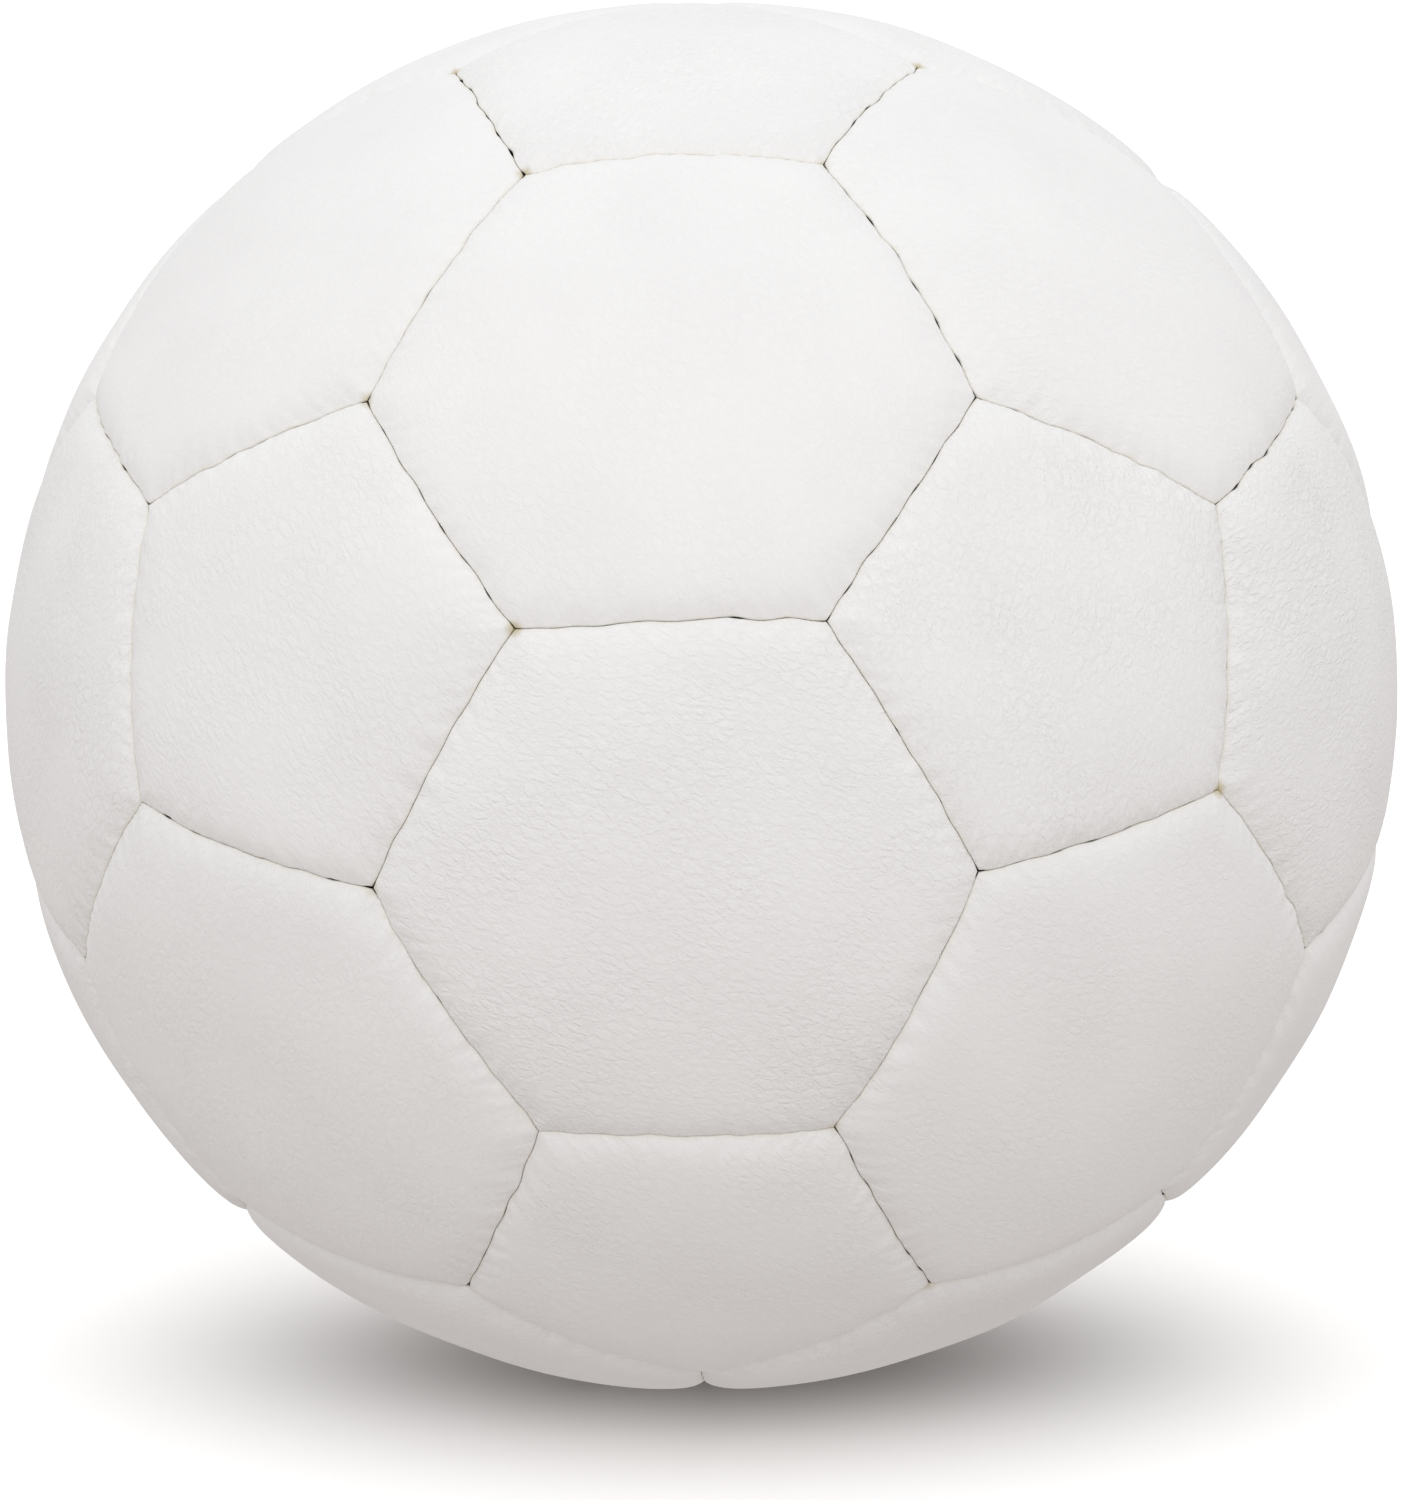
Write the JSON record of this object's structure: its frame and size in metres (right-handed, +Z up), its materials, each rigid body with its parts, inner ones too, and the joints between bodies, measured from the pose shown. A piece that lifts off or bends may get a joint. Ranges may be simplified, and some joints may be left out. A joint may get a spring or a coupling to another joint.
{
  "type": "medicine ball",
  "caption": "Round stitched ball with padded panels, a fibre stuffing and a weighted core, for lifting, throwing and balance exercises.",
  "frame": {"origin": "on the floor, below the centre of the ball", "axes": "+Z up from the floor through the centre of the ball, and -Y towards the viewer that the seam between two hexagons faces"},
  "size_m": [0.2298, 0.2296, 0.2282],
  "materials": {
    "cover_leatherette": "satin",
    "waxed_thread": "matte",
    "bag_cloth": "matte",
    "tie_cord": "matte",
    "fibre_wadding": "matte",
    "iron_sand": "matte"
  },
  "bodies": {
    "root": {"hexagon_panel_01": "cover_leatherette", "hexagon_panel_02": "cover_leatherette", "hexagon_panel_03": "cover_leatherette", "hexagon_panel_04": "cover_leatherette", "hexagon_panel_05": "cover_leatherette", "hexagon_panel_06": "cover_leatherette", "hexagon_panel_07": "cover_leatherette", "hexagon_panel_08": "cover_leatherette", "hexagon_panel_09": "cover_leatherette", "hexagon_panel_10": "cover_leatherette", "hexagon_panel_11": "cover_leatherette", "hexagon_panel_12": "cover_leatherette", "hexagon_panel_13": "cover_leatherette", "hexagon_panel_14": "cover_leatherette", "hexagon_panel_15": "cover_leatherette", "hexagon_panel_16": "cover_leatherette", "hexagon_panel_17": "cover_leatherette", "hexagon_panel_18": "cover_leatherette", "hexagon_panel_19": "cover_leatherette", "hexagon_panel_20": "cover_leatherette", "pentagon_panel_01": "cover_leatherette", "pentagon_panel_02": "cover_leatherette", "pentagon_panel_03": "cover_leatherette", "pentagon_panel_04": "cover_leatherette", "pentagon_panel_05": "cover_leatherette", "pentagon_panel_06": "cover_leatherette", "pentagon_panel_07": "cover_leatherette", "pentagon_panel_08": "cover_leatherette", "pentagon_panel_09": "cover_leatherette", "pentagon_panel_10": "cover_leatherette", "pentagon_panel_11": "cover_leatherette", "pentagon_panel_12": "cover_leatherette", "seam_thread": "waxed_thread", "stuffing_bag": "bag_cloth", "stuffing_bag_tie": "tie_cord", "wadding_upper": "fibre_wadding", "wadding_lower": "fibre_wadding", "core_bag": "bag_cloth", "core_bag_tie": "tie_cord", "core_fill": "iron_sand"}
  },
  "joints": []
}
